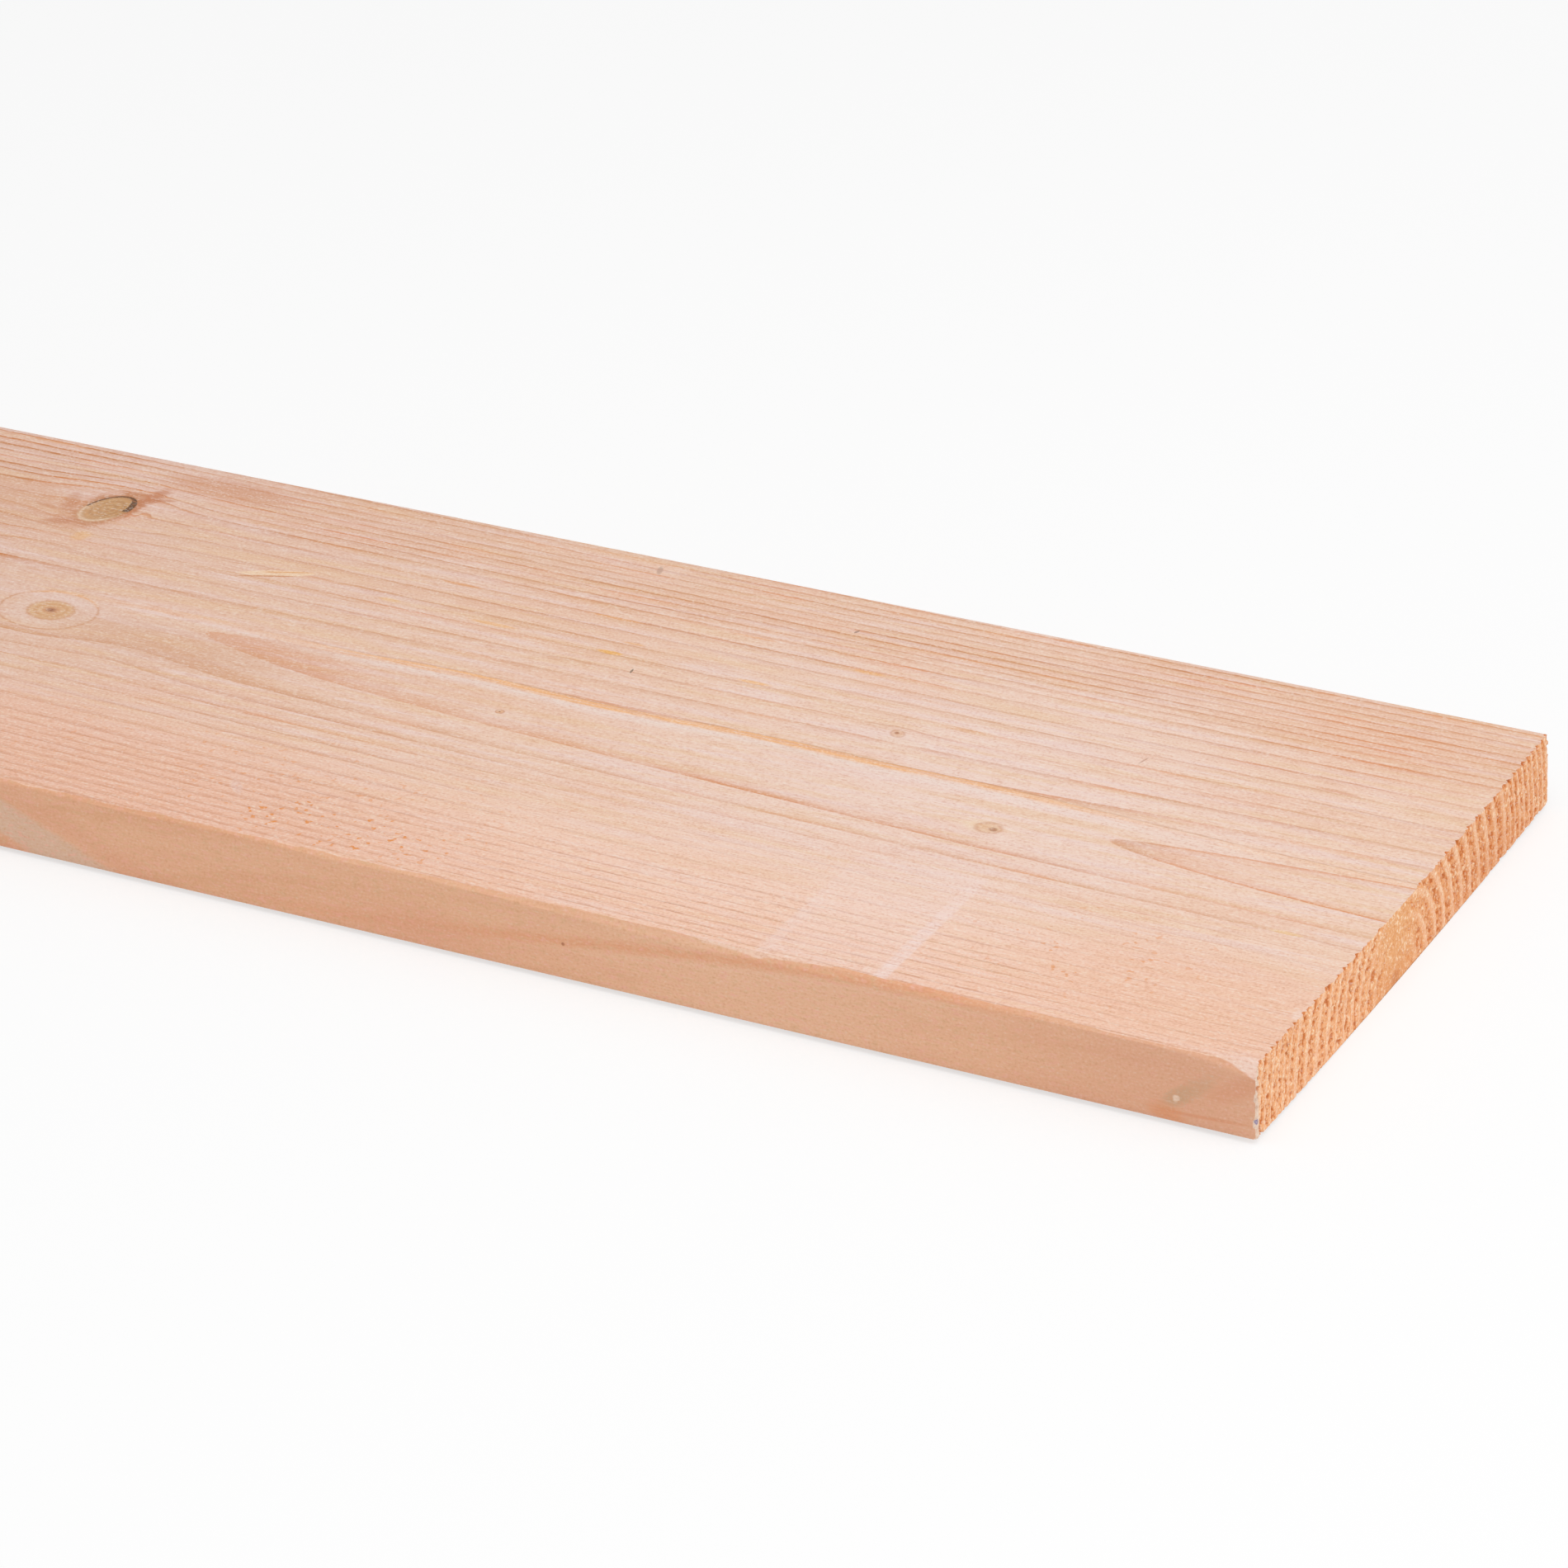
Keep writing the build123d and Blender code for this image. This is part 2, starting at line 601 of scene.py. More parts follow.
# Marks on the upper face: distance from the +X end and Y, half sizes, tilt, colour, strength, softness
marks = {
    "resinSpot": ((270, 41), (4.2, 1.0), 0, tone(242, 182, 88), 0.75, 0.5),
    "resinLeft": ((311, 43.3), (8, 0.9), 0, tone(240, 184, 116), 0.6, 0.7),
    "resinRight": ((222, 40.8), (5, 0.8), 0, tone(242, 184, 110), 0.65, 0.7),
    "resinUpper": ((194, 59.1), (5, 0.8), 0, tone(240, 178, 108), 0.6, 0.7),
    "resinFar": ((279, 60.8), (9, 0.7), 0, tone(236, 172, 106), 0.55, 0.7),
    "resinFarLeft": ((333, 62.0), (7, 0.7), 0, tone(230, 160, 98), 0.55, 0.7),
    "resinFarRight": ((235, 65.8), (7, 0.6), 0, tone(234, 168, 110), 0.5, 0.7),
    "resinLow": ((266, 48.4), (3.5, 0.6), 0, tone(236, 176, 108), 0.55, 0.7),
    "resinDust": ((348, 45.0), (3.5, 1.0), 0, tone(242, 196, 132), 0.5, 0.9),
    "resinAtKnot": ((459, 45.0), (2.6, 3.2), 20, tone(236, 186, 130), 0.6, 0.9),
    "kneeBand": ((378, -12.2), (26, 2.2), 13, tone(216, 156, 116), 0.4, 1.0),
    "kneeRosy": ((394, -7), (40, 10), 4, tone(217, 169, 135), 0.42, 1.0),
    "resinKnot": ((150, 38.5), (6, 0.9), 0, tone(228, 178, 136), 0.5, 0.7),
    "redRun": ((42, 47), (7, 0.7), 3, tone(216, 146, 112), 0.5, 0.7),
    "splinter": ((389, 46.6), (11.4, 2.0), -20, tone(246, 217, 184), 0.8, 0.3),
    "splinterEdge": ((391, 43.9), (9.6, 0.55), -20, tone(208, 142, 96), 0.8, 0.6),
    "splinterSplit": ((386.5, 48.4), (8, 0.45), -20, tone(230, 168, 112), 0.75, 0.5),
    "darkTick": ((258.4, 33.2), (0.35, 1.3), -8, tone(120, 96, 76), 0.85, 0.4),
    "darkFleck": ((209, 80.4), (0.45, 1.1), 20, tone(140, 112, 96), 0.7, 0.5),
    "farStroke": ((282, 92.6), (0.9, 2.4), -20, tone(182, 150, 134), 0.55, 0.6),
    "midTick": ((98.4, 42.2), (0.3, 2.2), 14, tone(190, 140, 118), 0.6, 0.5),
    "pinLeftPale": ((279, -5.5), (9, 2.6), 0, tone(240, 214, 198), 0.4, 0.9),
    "pinRightPale": ((123, -10.0), (5.4, 3.4), 0, tone(243, 218, 188), 0.5, 0.6),
    "pinFarPale": ((166, 24), (8, 3.4), 0, tone(241, 214, 192), 0.45, 0.9),
    "whiteSmear": ((325.5, -75), (4.6, 1.5), 48, tone(233, 212, 208), 0.7, 0.6),
    "whiteFleck": ((1.6, -70), (1.4, 2.6), 0, tone(246, 226, 216), 0.8, 0.5),
    "yellowDust": ((22, -31), (4.5, 0.8), 0, tone(243, 205, 140), 0.5, 0.8),
    "farRosy": ((36, 78), (46, 20), 0, tone(232, 182, 152), 0.28, 1.0),
    "leftRosy": ((432, 89), (22, 6), 0, tone(214, 156, 124), 0.65, 1.0),
    "leftRosyLow": ((500, 56), (34, 14), 0, tone(218, 164, 130), 0.4, 1.0),
    "nearRosy": ((420, -85), (160, 34), 0, tone(236, 184, 157), 0.55, 1.0),
    "nearRosyRight": ((20, -75), (60, 22), 0, tone(240, 192, 164), 0.5, 1.0),
}

# Knots: where their axis meets the upper face. Grain flows round them over the reach.
knotLevel = 22.5
knots = {
    "dead": {"along": 461.8, "across": 63.6, "size": (6.9, 9.8), "tilt": 26, "reach": (22, 13)},
    "round": {"along": 438.8, "across": -1.0, "size": (7.7, 6.2), "tilt": 0, "reach": (20, 12)},
    "farA": {"along": 745, "across": -48, "size": (7, 6), "tilt": 0, "reach": (26, 14)},
    "farB": {"along": 1010, "across": 38, "size": (9, 7), "tilt": 0, "reach": (32, 17)},
    "farC": {"along": 1290, "across": -24, "size": (6, 5.5), "tilt": 0, "reach": (24, 13)},
    "farD": {"along": 1560, "across": 30, "size": (8, 7), "tilt": 0, "reach": (30, 16)},
}

# Red fibre swirling round the dead knot: place, half sizes, tilt, strength
swirls = {
    "upperRight": ((452.4, 75), (2.4, 5.0), 14, 0.75),
    "right": ((453.4, 66), (1.2, 4.0), 4, 0.5),
    "left": ((474.4, 62), (2.2, 6.5), -18, 0.55),
    "lowerLeft": ((471, 51.5), (5.0, 1.8), -24, 0.65),
    "farRight": ((448.6, 74.6), (3.4, 0.7), -14, 0.6),
    "farLeft": ((480, 58.6), (6.0, 0.8), 6, 0.5),
}

# Where the grain bends aside: distance from the +X end and Y, reach along and across, how far
bends = {
    "besideFeather": ((150, 12.5), (75, 5), 3.0),
    "belowRoundKnot": ((404, -15), (26, 14), -4.4),
    "belowDeadKnot": ((467, 38), (17, 9), -3.8),
}

# Pin knots, and how far off their middles the hearts lie
pins = {
    "left": {"at": (281.0, -4.2), "size": (1.2, 1.0), "tilt": 0, "share": 0.8, "heart": (281.0, -4.2)},
    "right": {"at": (120.9, -10.2), "size": (3.4, 2.7), "tilt": 0, "share": 0.5, "heart": (119.4, -10.6)},
    "far": {"at": (169.5, 29.4), "size": (2.0, 1.6), "tilt": 35, "share": 0.55, "heart": (169.8, 29.6)},
}

scuff = {
    "along": (107.6, 146.5),  # a pale box left by something stuck on, with a brighter +X side
    "across": -38,            # it runs from here to the -Y arris
    "side": 4.0,
    "tone": tone(244, 219, 212),
}

# Where the torn specks lie: distance from the +X end and Y, reach, how many, whether in clusters
speckled = {
    "thick": ((286, -85), (30, 11), 1.8, False),
    "thin": ((320, -70), (70, 24), 0.45, False),
    "nearEnd": ((66, -62), (27, 19), 0.7, True),
}

# The -Y side's slanting bands, in distance from the +X end and height
bands = {
    "streakRun": (85, 330),   # the dark streak falls from the upper arris along this
    "streakHeight": (23.0, 3.0),
    "rosy": ((250, 6.5), (30, 4.5)),
    "greyFoot": 347.0,        # the grey band, at the lower arris
    "greyLean": 2.4,
    "greyMiddle": 15.0,
    "greyHalf": (17.0, 10.0),
    "redBeside": ((-10, 9), (40, 10)),  # redder wood: its middle, from the grey band's foot, and width
    "pin": (205.5, 12.4),
}

# What the +X end shows, in Y and height
endMarks = {
    "heartCore": ((-9, 1.8), (2.6, 2.2)),
    "ink": ((-99, 6.6), (0.6, 0.8)),
    # the grey corner is a painted highlight on the rounded upright arris, from and to these Y
    "cornerHighlight": (-97.4, -98.4),
    "shaded": (62, 24),       # darker low down, with the heart
}

# How far the side's brown reaches over the waned arris, and where the worn corner stays pale
overArris = {
    "arris": (-98.95, -99.2),
    "nearEnd": 1.2,
    "middle": ((205, 38), 0.6),
    "between": ((150, 14), 0.7),
    "scallops": 2.0,
    "cornerRise": 0.4,
    "corner": (19.8, 19.2),
}

# Marks on the -Y side: distance from the +X end and height, half sizes, tilt, colour, strength
sideMarks = {
    "bruise": ((19, 11.5), (8, 2.2), -38, tone(198, 160, 124), 0.4),
    "bruiseCore": ((22, 9.4), (4, 2), -30, tone(198, 164, 128), 0.35),
    "tornFibre": ((22.6, 8.7), (0.8, 0.9), 12, tone(246, 220, 198), 0.7),
    "lowLine": ((14, 4.9), (11, 0.45), -3, tone(222, 146, 104), 0.5),
    "lowWarm": ((25, 3.2), (5, 2.6), 20, tone(228, 148, 98), 0.5),
    "highWarm": ((5, 15.5), (8, 2.6), -30, tone(222, 152, 116), 0.45),
}


def readPlace(wood):
    place = wood.node("ShaderNodeTexCoord", None, None, "Object")
    parts = [wood.node("ShaderNodeSeparateXYZ", None, [place], axis) for axis in "XYZ"]
    facing = wood.node("ShaderNodeTexCoord", None, None, "Normal")
    sides = [wood.node("ShaderNodeSeparateXYZ", None, [facing], axis) for axis in "XYZ"]
    return (endX - parts[0]) * 1000, parts[1] * 1000, parts[2] * 1000, sides


def knotPlace(knot, along, across, up):
    # offsets from the knot's axis, which runs out from the heart
    heartAcross, heartUp = heartAt(knot["along"])
    lean = (knot["across"] - heartAcross) / (knotLevel - heartUp)
    middle = (up - knotLevel) * lean + knot["across"]
    return along - knot["along"], across - middle


def flowRound(wood, along, across, up):
    # the grain keeps the ring that it had at the knot, and so parts round it
    flowed = across
    for knot in knots.values():
        aside, off = knotPlace(knot, along, across, up)
        first = aside * (1 / knot["reach"][0])
        second = off * (1 / knot["reach"][1])
        flowed = flowed - off * power((first * first + second * second) * -1) * 0.95
    for pin in pins.values():
        reach = (pin["size"][0] * 3, pin["size"][1] * 2.2)
        pull = power(wood.spot(along, across, pin["at"], reach) * -1)
        flowed = flowed - (across - pin["at"][1]) * pull * 0.9
    for at, reach, shift in bends.values():
        flowed = flowed + wood.patch(along, across, at, reach) * shift
    return flowed


def paintMarks(wood, colour, along, across, breakUp):
    for at, size, tilt, paint, share, soft in marks.values():
        reach = wood.spot(along, across, at, size, tilt) + breakUp * soft
        colour = wood.blend(colour, paint, wood.ramp(reach, 1 + soft, 1 - soft) * share)
    return colour


def paintPins(wood, colour, along, across, breakUp, fine):
    rough = breakUp * 0.5 + (fine - 0.5) * 0.6
    for pin in pins.values():
        share = pin["share"]
        radius = root(wood.spot(along, across, pin["at"], pin["size"], pin["tilt"])) + rough
        heart = root(wood.spot(along, across, pin["heart"], pin["size"], pin["tilt"])) + rough
        colour = wood.blend(colour, colours["pinHalo"], wood.ramp(radius, 1.3, 0.7) * share)
        colour = wood.blend(colour, colours["pinRim"], wood.bell(radius, 1.1, 0.2) * share * 0.9)
        colour = wood.blend(colour, colours["pinHeart"], wood.ramp(heart, 0.5, 0.15) * share * 1.4)
    return colour


def knotRadius(wood, knot, place):
    # the radius is 1 at the knot's rim
    first, second = wood.turned(*place, knot["tilt"])
    first = first * (1 / knot["size"][0])
    second = second * (1 / knot["size"][1])
    return first, second, root(first * first + second * second)


def paintRoundKnot(wood, colour, knot, place, breakUp, broad):
    first, second, radius = knotRadius(wood, knot, place)
    radius = radius + breakUp * 0.16 + broad * 0.5
    colour = wood.blend(colour, colours["knotPale"], wood.ramp(radius, 2.0, 1.5) * 0.5)
    # the ring that it lifted, drawn out to a point on the far side
    lifted = radius - wood.bell(first, 2.2, 0.9) * 0.25
    weight = wood.bell(broad, 0, 0.2) * 0.35 + 0.2
    colour = wood.blend(colour, colours["line"], wood.bell(lifted, 1.98, 0.06) * weight)
    above = wood.bell(lifted, 1.98, 0.09) * wood.ramp(second, 0.8, 1.8)
    colour = wood.blend(colour, colours["featherCore"], above * 0.6)
    colour = wood.blend(colour, colours["knotWarm"], wood.ramp(radius, 1.15, 0.8) * 0.75)
    rims = cosine(radius * 19) * 0.5 + 0.5
    colour = wood.blend(colour, colours["line"], rims * wood.ramp(radius, 1.15, 0.8) * 0.4)
    colour = wood.blend(colour, colours["line"], wood.bell(radius, 1.0, 0.06) * 0.35)
    colour = wood.blend(colour, colours["knotHalo"], wood.ramp(radius, 0.6, 0.05) * 0.5)
    return wood.blend(colour, colours["knotHeart"], wood.ramp(radius, 0.34, 0.1) * 0.95)


def paintDeadKnot(wood, colour, knot, place, breakUp, fine):
    aside, off = place
    first, second, radius = knotRadius(wood, knot, place)
    halo = wood.ramp(radius + breakUp * 1.6, 2.1, 0.9)
    colour = wood.blend(colour, colours["knotHalo"], halo * 0.5)
    shade = wood.ramp(radius + breakUp * 0.8, 1.45, 1.0)
    colour = wood.blend(colour, colours["knotShade"], shade * 0.8)
    for at, size, tilt, share in swirls.values():
        swirl = wood.spot(aside + knot["along"], off + knot["across"], at, size, tilt) + breakUp * 3
        colour = wood.blend(colour, colours["knotSwirl"], wood.ramp(swirl + fine * 1.6, 3.4, 0.8) * share)
    inside = wood.ramp(radius, 1.0, 0.93)
    brown = wood.blend(colours["knot"], colours["knotGreen"], wood.ramp(first + breakUp * 2, 0.4, -0.6))
    colour = wood.blend(colour, brown, inside)
    rims = cosine(radius * 22 + breakUp * 3) * 0.5 + 0.5
    colour = wood.blend(colour, colours["knotRings"], rims * inside * 0.45)
    lower = wood.ramp(second, 0.15, -0.45)
    colour = wood.blend(colour, colours["knotRim"], wood.bell(radius, 0.92, 0.09) * lower * 0.9)
    # the crack, widest on its right
    width = wood.ramp(first, 0.3, -0.8) * 0.22 + 0.09 + breakUp * 0.1
    gap = wood.ramp((radius - 1 + width * 0.5).maths("ABSOLUTE") - width * 0.5, 0.03, -0.02)
    shut = wood.ramp(second + first * 0.4, -0.08, 0.04)
    return wood.blend(colour, colours["crack"], gap * shut * 0.95)


def paintFeather(wood, colour, along, across, breakUp):
    # an orange streak, sharp above and soft and pale below, that comes and goes along its length
    off = across - featherAcross(along) + breakUp * 1.1
    runs = wood.ramp(along, feather["until"] + 8, feather["until"] - 20)
    strong = wood.ramp(along, 70, 150) * wood.ramp(along, 375, 300) * 0.75 + 0.25
    comes = wood.noise([along, across, 7.2], [26, 0.9, 1])
    body = wood.ramp(off, 1.6, 1.0) * wood.ramp(off, -2.4, -0.6)
    edge = wood.ramp(along, 50, 170) * wood.ramp(along, 390, 320) * 0.5 + 0.2
    colour = wood.blend(colour, colours["featherEdge"], wood.bell(off, -2.8, 2.6) * runs * edge)
    core = wood.ramp(comes, 0.3, 0.62) * 0.75 + 0.25
    colour = wood.blend(colour, colours["featherCore"], body * runs * strong * core)
    rim = wood.bell(off, 1.45, 0.35) * runs * wood.ramp(along, 380, 320)
    return wood.blend(colour, colours["featherRim"], rim * (wood.ramp(comes, 0.35, 0.65) * 0.4 + 0.25))


def paintScuff(wood, colour, along, across, breakUp):
    start, end = scuff["along"]
    inBox = wood.ramp(along, start - 0.6, start + 0.6) * wood.ramp(along, end + 1.2, end - 1.2)
    inBox = inBox * wood.ramp(across, scuff["across"] + 3, scuff["across"] - 1)
    lower = wood.ramp(across, -40, -80)
    right = start + scuff["side"]
    left = end - scuff["side"]
    bright = wood.ramp(along, right + 0.8, right - 0.8) * (lower * 0.5 + 0.2) + 0.32
    bright = bright + wood.ramp(along, left - 0.8, left + 0.8) * lower * 0.25
    return wood.blend(colour, scuff["tone"], inBox * bright * (0.7 + breakUp * 1.6))


def paintSpecks(wood, colour, along, across):
    # torn specks, and how far they stand up
    flakes = wood.noise([along, across, 0], [2.3, 2.0, 1], 1.0)
    crowd = wood.noise([along, across, 8.5], [13, 7, 1], 1.0)
    where = 0.15 * wood.ramp(across, -20, -50)
    for at, reach, share, clustered in speckled.values():
        patch = wood.patch(along, across, at, reach) * share
        where = where + (patch * wood.ramp(crowd, 0.5, 0.6) if clustered else patch)
    where = where * wood.ramp(crowd, 0.42, 0.58)
    colour = wood.blend(colour, colours["speck"], wood.ramp(flakes, 0.6, 0.69) * where)
    colour = wood.blend(colour, colours["speckPale"], wood.ramp(flakes, 0.38, 0.28) * where * 0.4)
    return colour, wood.ramp(flakes, 0.3, 0.7) * where


def paintSide(wood, along, up, line, breakUp, fine):
    # the near side is cut along the rings, so it is cloudy with a few slanting bands
    clouds = wood.noise([along, 0, up], [30, 1, 7], 3.0)
    flecks = wood.noise([along, 0, up], [3.5, 1, 1.2])
    side = wood.blend(colours["side"], colours["sideRosy"], wood.ramp(clouds, 0.42, 0.75) * 0.6)
    side = wood.blend(side, colours["line"], line * 0.25)
    side = wood.blend(side, colours["sidePale"], wood.bell(along, 145, 60) * 0.45)
    wave = breakUp * 1.2
    # a dark streak that climbs to the upper arris, with a pale line under it
    start, end = bands["streakHeight"]
    above = up - (start - wood.ramp(along, *bands["streakRun"]) * (start - end)) + wave
    shown = wood.ramp(along, 50, 85) * wood.ramp(along, 330, 250)
    streak = wood.bell(above, 0.2, 1.8) * shown * (wood.ramp(flecks, 0.42, 0.62) * 0.4 + 0.5)
    side = wood.blend(side, colours["sideStreak"], streak)
    under = wood.bell(above, -2.6, 0.8) * wood.ramp(along, 240, 160) * wood.ramp(along, 60, 85)
    side = wood.blend(side, colours["sideUnder"], under * 0.3)
    upper = wood.ramp(up, 20.5, 23.5) * wood.ramp(along, 240, 330)
    side = wood.blend(side, colours["sideUpper"], upper * 0.3)
    side = wood.blend(side, colours["sideRosy"], wood.patch(along, up, *bands["rosy"]) * 0.8)
    # a grey slanting band with redder wood beside it
    slant = along - bands["greyFoot"] - up * bands["greyLean"] + wave * 5
    before, behind = bands["redBeside"]
    side = wood.blend(side, colours["sideRosy"], wood.bell(slant, *before) * 0.6)
    side = wood.blend(side, colours["sideRed"], wood.bell(slant, *behind) * 0.6)
    grey = wood.ramp((slant - bands["greyMiddle"]).maths("ABSOLUTE"), *bands["greyHalf"])
    side = wood.blend(side, colours["sideGrey"], grey * 0.75)
    # pink and cream flecks all over
    side = wood.blend(side, colours["sidePink"], wood.ramp(flecks, 0.52, 0.7) * 0.6)
    side = wood.blend(side, colours["sideCream"], wood.ramp(flecks, 0.47, 0.3) * 0.5)
    # browner towards the end, with a bruise round a torn fibre
    side = wood.blend(side, colours["sideEnd"], wood.ramp(along, 95, 20) * 0.6)
    for at, size, tilt, paint, share in sideMarks.values():
        spot = wood.spot(along, up, at, size, tilt) + breakUp * 2 + (fine - 0.5) * 3
        side = wood.blend(side, paint, wood.ramp(spot, 2.4, 0.0) * share)
    pin = wood.spot(along, up, bands["pin"], (0.5, 0.5))
    return wood.blend(side, colours["sidePin"], wood.ramp(pin, 1.6, 0.5) * 0.75)


def paintEnd(wood, across, up, phase, breakUp):
    # soft wood is orange, with dark torn pits; hard lines and raised fibres are pale
    pitted = wood.node("ShaderNodeAttribute", {"attribute_name": "torn"}, None, "Fac")
    heart = wood.bell(across, *torn["heart"])
    ground = wood.blend(colours["endNear"], colours["endFar"], wood.ramp(across, -60, 60))
    ground = wood.blend(ground, colours["endHeart"], heart)
    hard = wood.ramp(phase, 0.6, 0.85) * (1 - heart)
    ground = wood.blend(ground, colours["endHard"], hard * 0.6)
    soft = wood.ramp(phase, 0.05, 0.2) * wood.ramp(phase, 0.7, 0.5) * (1 - heart)
    fibres = wood.noise([across, up, 4.4], [0.9, 1.3, 1], 2.0, 0.6)
    ground = wood.blend(ground, colours["endPale"], wood.ramp(fibres, 0.54, 0.68) * 0.8)
    ground = wood.blend(ground, colours["endDark"], wood.ramp(fibres, 0.45, 0.3) * 0.35)
    pocks = wood.noise([across, up, 8.1], [1.1, 1.5, 1], 1.0)
    ground = wood.blend(ground, colours["endDark"], wood.ramp(pocks, 0.56, 0.66) * (soft * 0.6 + 0.15))
    ground = wood.blend(ground, colours["endDark"], wood.ramp(pitted, 0.24, 0.6) * 0.85)
    core = wood.spot(across, up, *endMarks["heartCore"]) + breakUp
    ground = wood.blend(ground, colours["endCore"], wood.ramp(core, 2, 0) * 0.6)
    # the grey corner, a painted highlight on the rounded upright arris by the -Y side, the ink mark and the
    # dark foot
    grey = wood.ramp(across + breakUp, *endMarks["cornerHighlight"])
    ground = wood.blend(ground, colours["endCornerHighlight"], grey * 0.8)
    ink = wood.spot(across, up, *endMarks["ink"]) + breakUp
    ground = wood.blend(ground, colours["endInk"], wood.ramp(ink, 1.6, 0.5) * 0.8)
    shaded = wood.bell(across, *endMarks["shaded"]) * wood.ramp(up, 19, 5)
    shaded = shaded + heart * wood.ramp(up, 12, 3) * 0.7
    ground = wood.blend(ground, colours["endDark"], shaded * 0.22)
    foot = wood.ramp(up + breakUp * 1.2, 0.6, 0.1)
    return wood.blend(ground, colours["endFoot"], foot * 0.5)


def sideOverArris(wood, along, across, up, breakUp):
    # the side's brown reaches over the waned arris, furthest on one stretch
    over = wood.ramp(along, 128, 119) * wood.ramp(along, 42, 62) * overArris["nearEnd"]
    middle, middleShare = overArris["middle"]
    between, betweenShare = overArris["between"]
    over = over + wood.bell(along, *middle) * middleShare - wood.bell(along, *between) * betweenShare
    scallop = wood.noise([along, 0, 11.5], [13, 1, 1], 1.0) - 0.5
    edge = across + breakUp * 0.6 + scallop * overArris["scallops"] - over
    # the worn corner is pale further down than the wane goes
    corner = wood.ramp(up - along * overArris["cornerRise"] + breakUp, *overArris["corner"])
    return wood.ramp(edge, *overArris["arris"]) * corner


def bendRings(wood, along, across, up, breakUp, wander, byKnot, limb):
    # distance from the heart, with the grain bent round the knots and wandering
    curl = wood.noise([along, across, 6.5], [5, 5, 1], 1.0)
    flowed = flowRound(wood, along, across, up) + (curl - 0.5) * byKnot * 9
    plain = ringDistance(along, flowed, up)
    sway = (wander - 0.5) * (wood.ramp(plain, 26, 50) * 1.3 + 0.2)
    return plain + sway + breakUp * (wood.ramp(plain, 32, 60) * 0.75 + limb * 0.12 + 0.05)


def oddStretches(wood, along, across, distance):
    # where single rings are bolder than the others
    first = wood.ramp(distance, 26.3, 25.8)
    bold = wood.ramp(along, 250, 310) * wood.ramp(across, -6, -12) * wood.ramp(distance, 32, 33)
    return bold, first * wood.bell(along, 78, 14), first * wood.ramp(along, 84, 60) * 0.3


def lateWood(wood, across, distance, phase, limb, nearSide, bold, tip):
    # dark wood inside each ring's edge: thin in the first ring, broad in the next two, then by side
    first = wood.ramp(distance, 26.3, 25.8)
    width = wood.ramp(distance, 70, 82) * (rings["outerWidth"] - rings["innerWidth"]) + rings["innerWidth"]
    inner = (1 - phase) * width
    outer = phase * width
    later = wood.ramp(distance, 38.6, 40)
    late = 1.7 - first * (1.4 - limb * 0.35) - later * (1.05 - wood.ramp(across, 0, 40) * 0.55) + bold * 0.9
    thin = 1.4 - wood.ramp(distance, 38.6, 44) * 2.0 + nearSide * 2.6
    tail = 3.0 - first * (2.1 - limb * 0.6) - later * thin + tip * 1.2
    sharp = wood.ramp(distance, 34, 44) * 0.2 + 0.025
    edge = larger(larger(1 - inner / late, 0), 1 - outer / sharp)
    return larger(edge, larger(1 - inner / tail, 0) * 0.35)


def drawLines(wood, along, across, distance, limb, ragged, byKnot, nearSide):
    # the rings' lines, each stronger or weaker and warmer or cooler along its length
    number = ringNumber(distance)
    phase = number.maths("FRACT")
    ring = number.maths("FLOOR")
    bold, tip, tongue = oddStretches(wood, along, across, distance)
    line = lateWood(wood, across, distance, phase, limb, nearSide, bold, tip)
    strength = wood.ramp(wood.noise([along, ring * 3.7, 0.5], [60, 1, 1], 1.0), 0.25, 0.75)
    hue = wood.ramp(wood.noise([along, ring * 5.3, 2.5], [32, 1, 1], 1.0), 0.45, 0.72)
    boost = wood.patch(along, across, (38, 72), (26, 17))
    second = wood.ramp(distance, 33.2, 32.4) * wood.ramp(along, 30, 190) * wood.ramp(distance, 25.8, 26.6)
    third = wood.ramp(distance, 39.4, 38.6) * wood.ramp(distance, 31.8, 32.6) * 0.9
    reach = wood.ramp(across, 32, 78) * 0.36 + 0.44 + boost * 0.55 + larger(second, third) * 0.2
    reach = reach - wood.bell(across, -45, 17) * 0.12 + wood.ramp(across, -55, -80) * 0.24 + byKnot * 0.4
    reach = reach + tip * 0.12 + tongue + bold * 0.12 + nearSide * wood.ramp(along, 250, 340) * 0.12
    reach = reach + wood.ramp(along, 462, 480) * wood.ramp(across, 10, 28) * 0.4
    reach = reach + wood.bell(along, 372, 24) * second * 0.15 + wood.ramp(along, 180, 260) * second * 0.1
    reach = reach - wood.ramp(along, 330, 370) * wood.ramp(across, 58, 76) * 0.03
    # near the -Y side the lines break into dashes
    dashes = 1 - nearSide * wood.ramp(ragged, 0.62, 0.4) * (0.5 - wood.ramp(along, 240, 320) * 0.2)
    line = line * reach * (strength * (0.9 - nearSide * 0.5) + nearSide * 0.35 + 0.4) * dashes
    warm = larger(larger(hue, larger(boost, second * 0.6)), tongue * 3)
    lineTone = wood.blend(colours["line"], colours["warmLine"], warm)
    return phase, line, wood.blend(lineTone, colours["nearLine"], nearSide * 0.65)


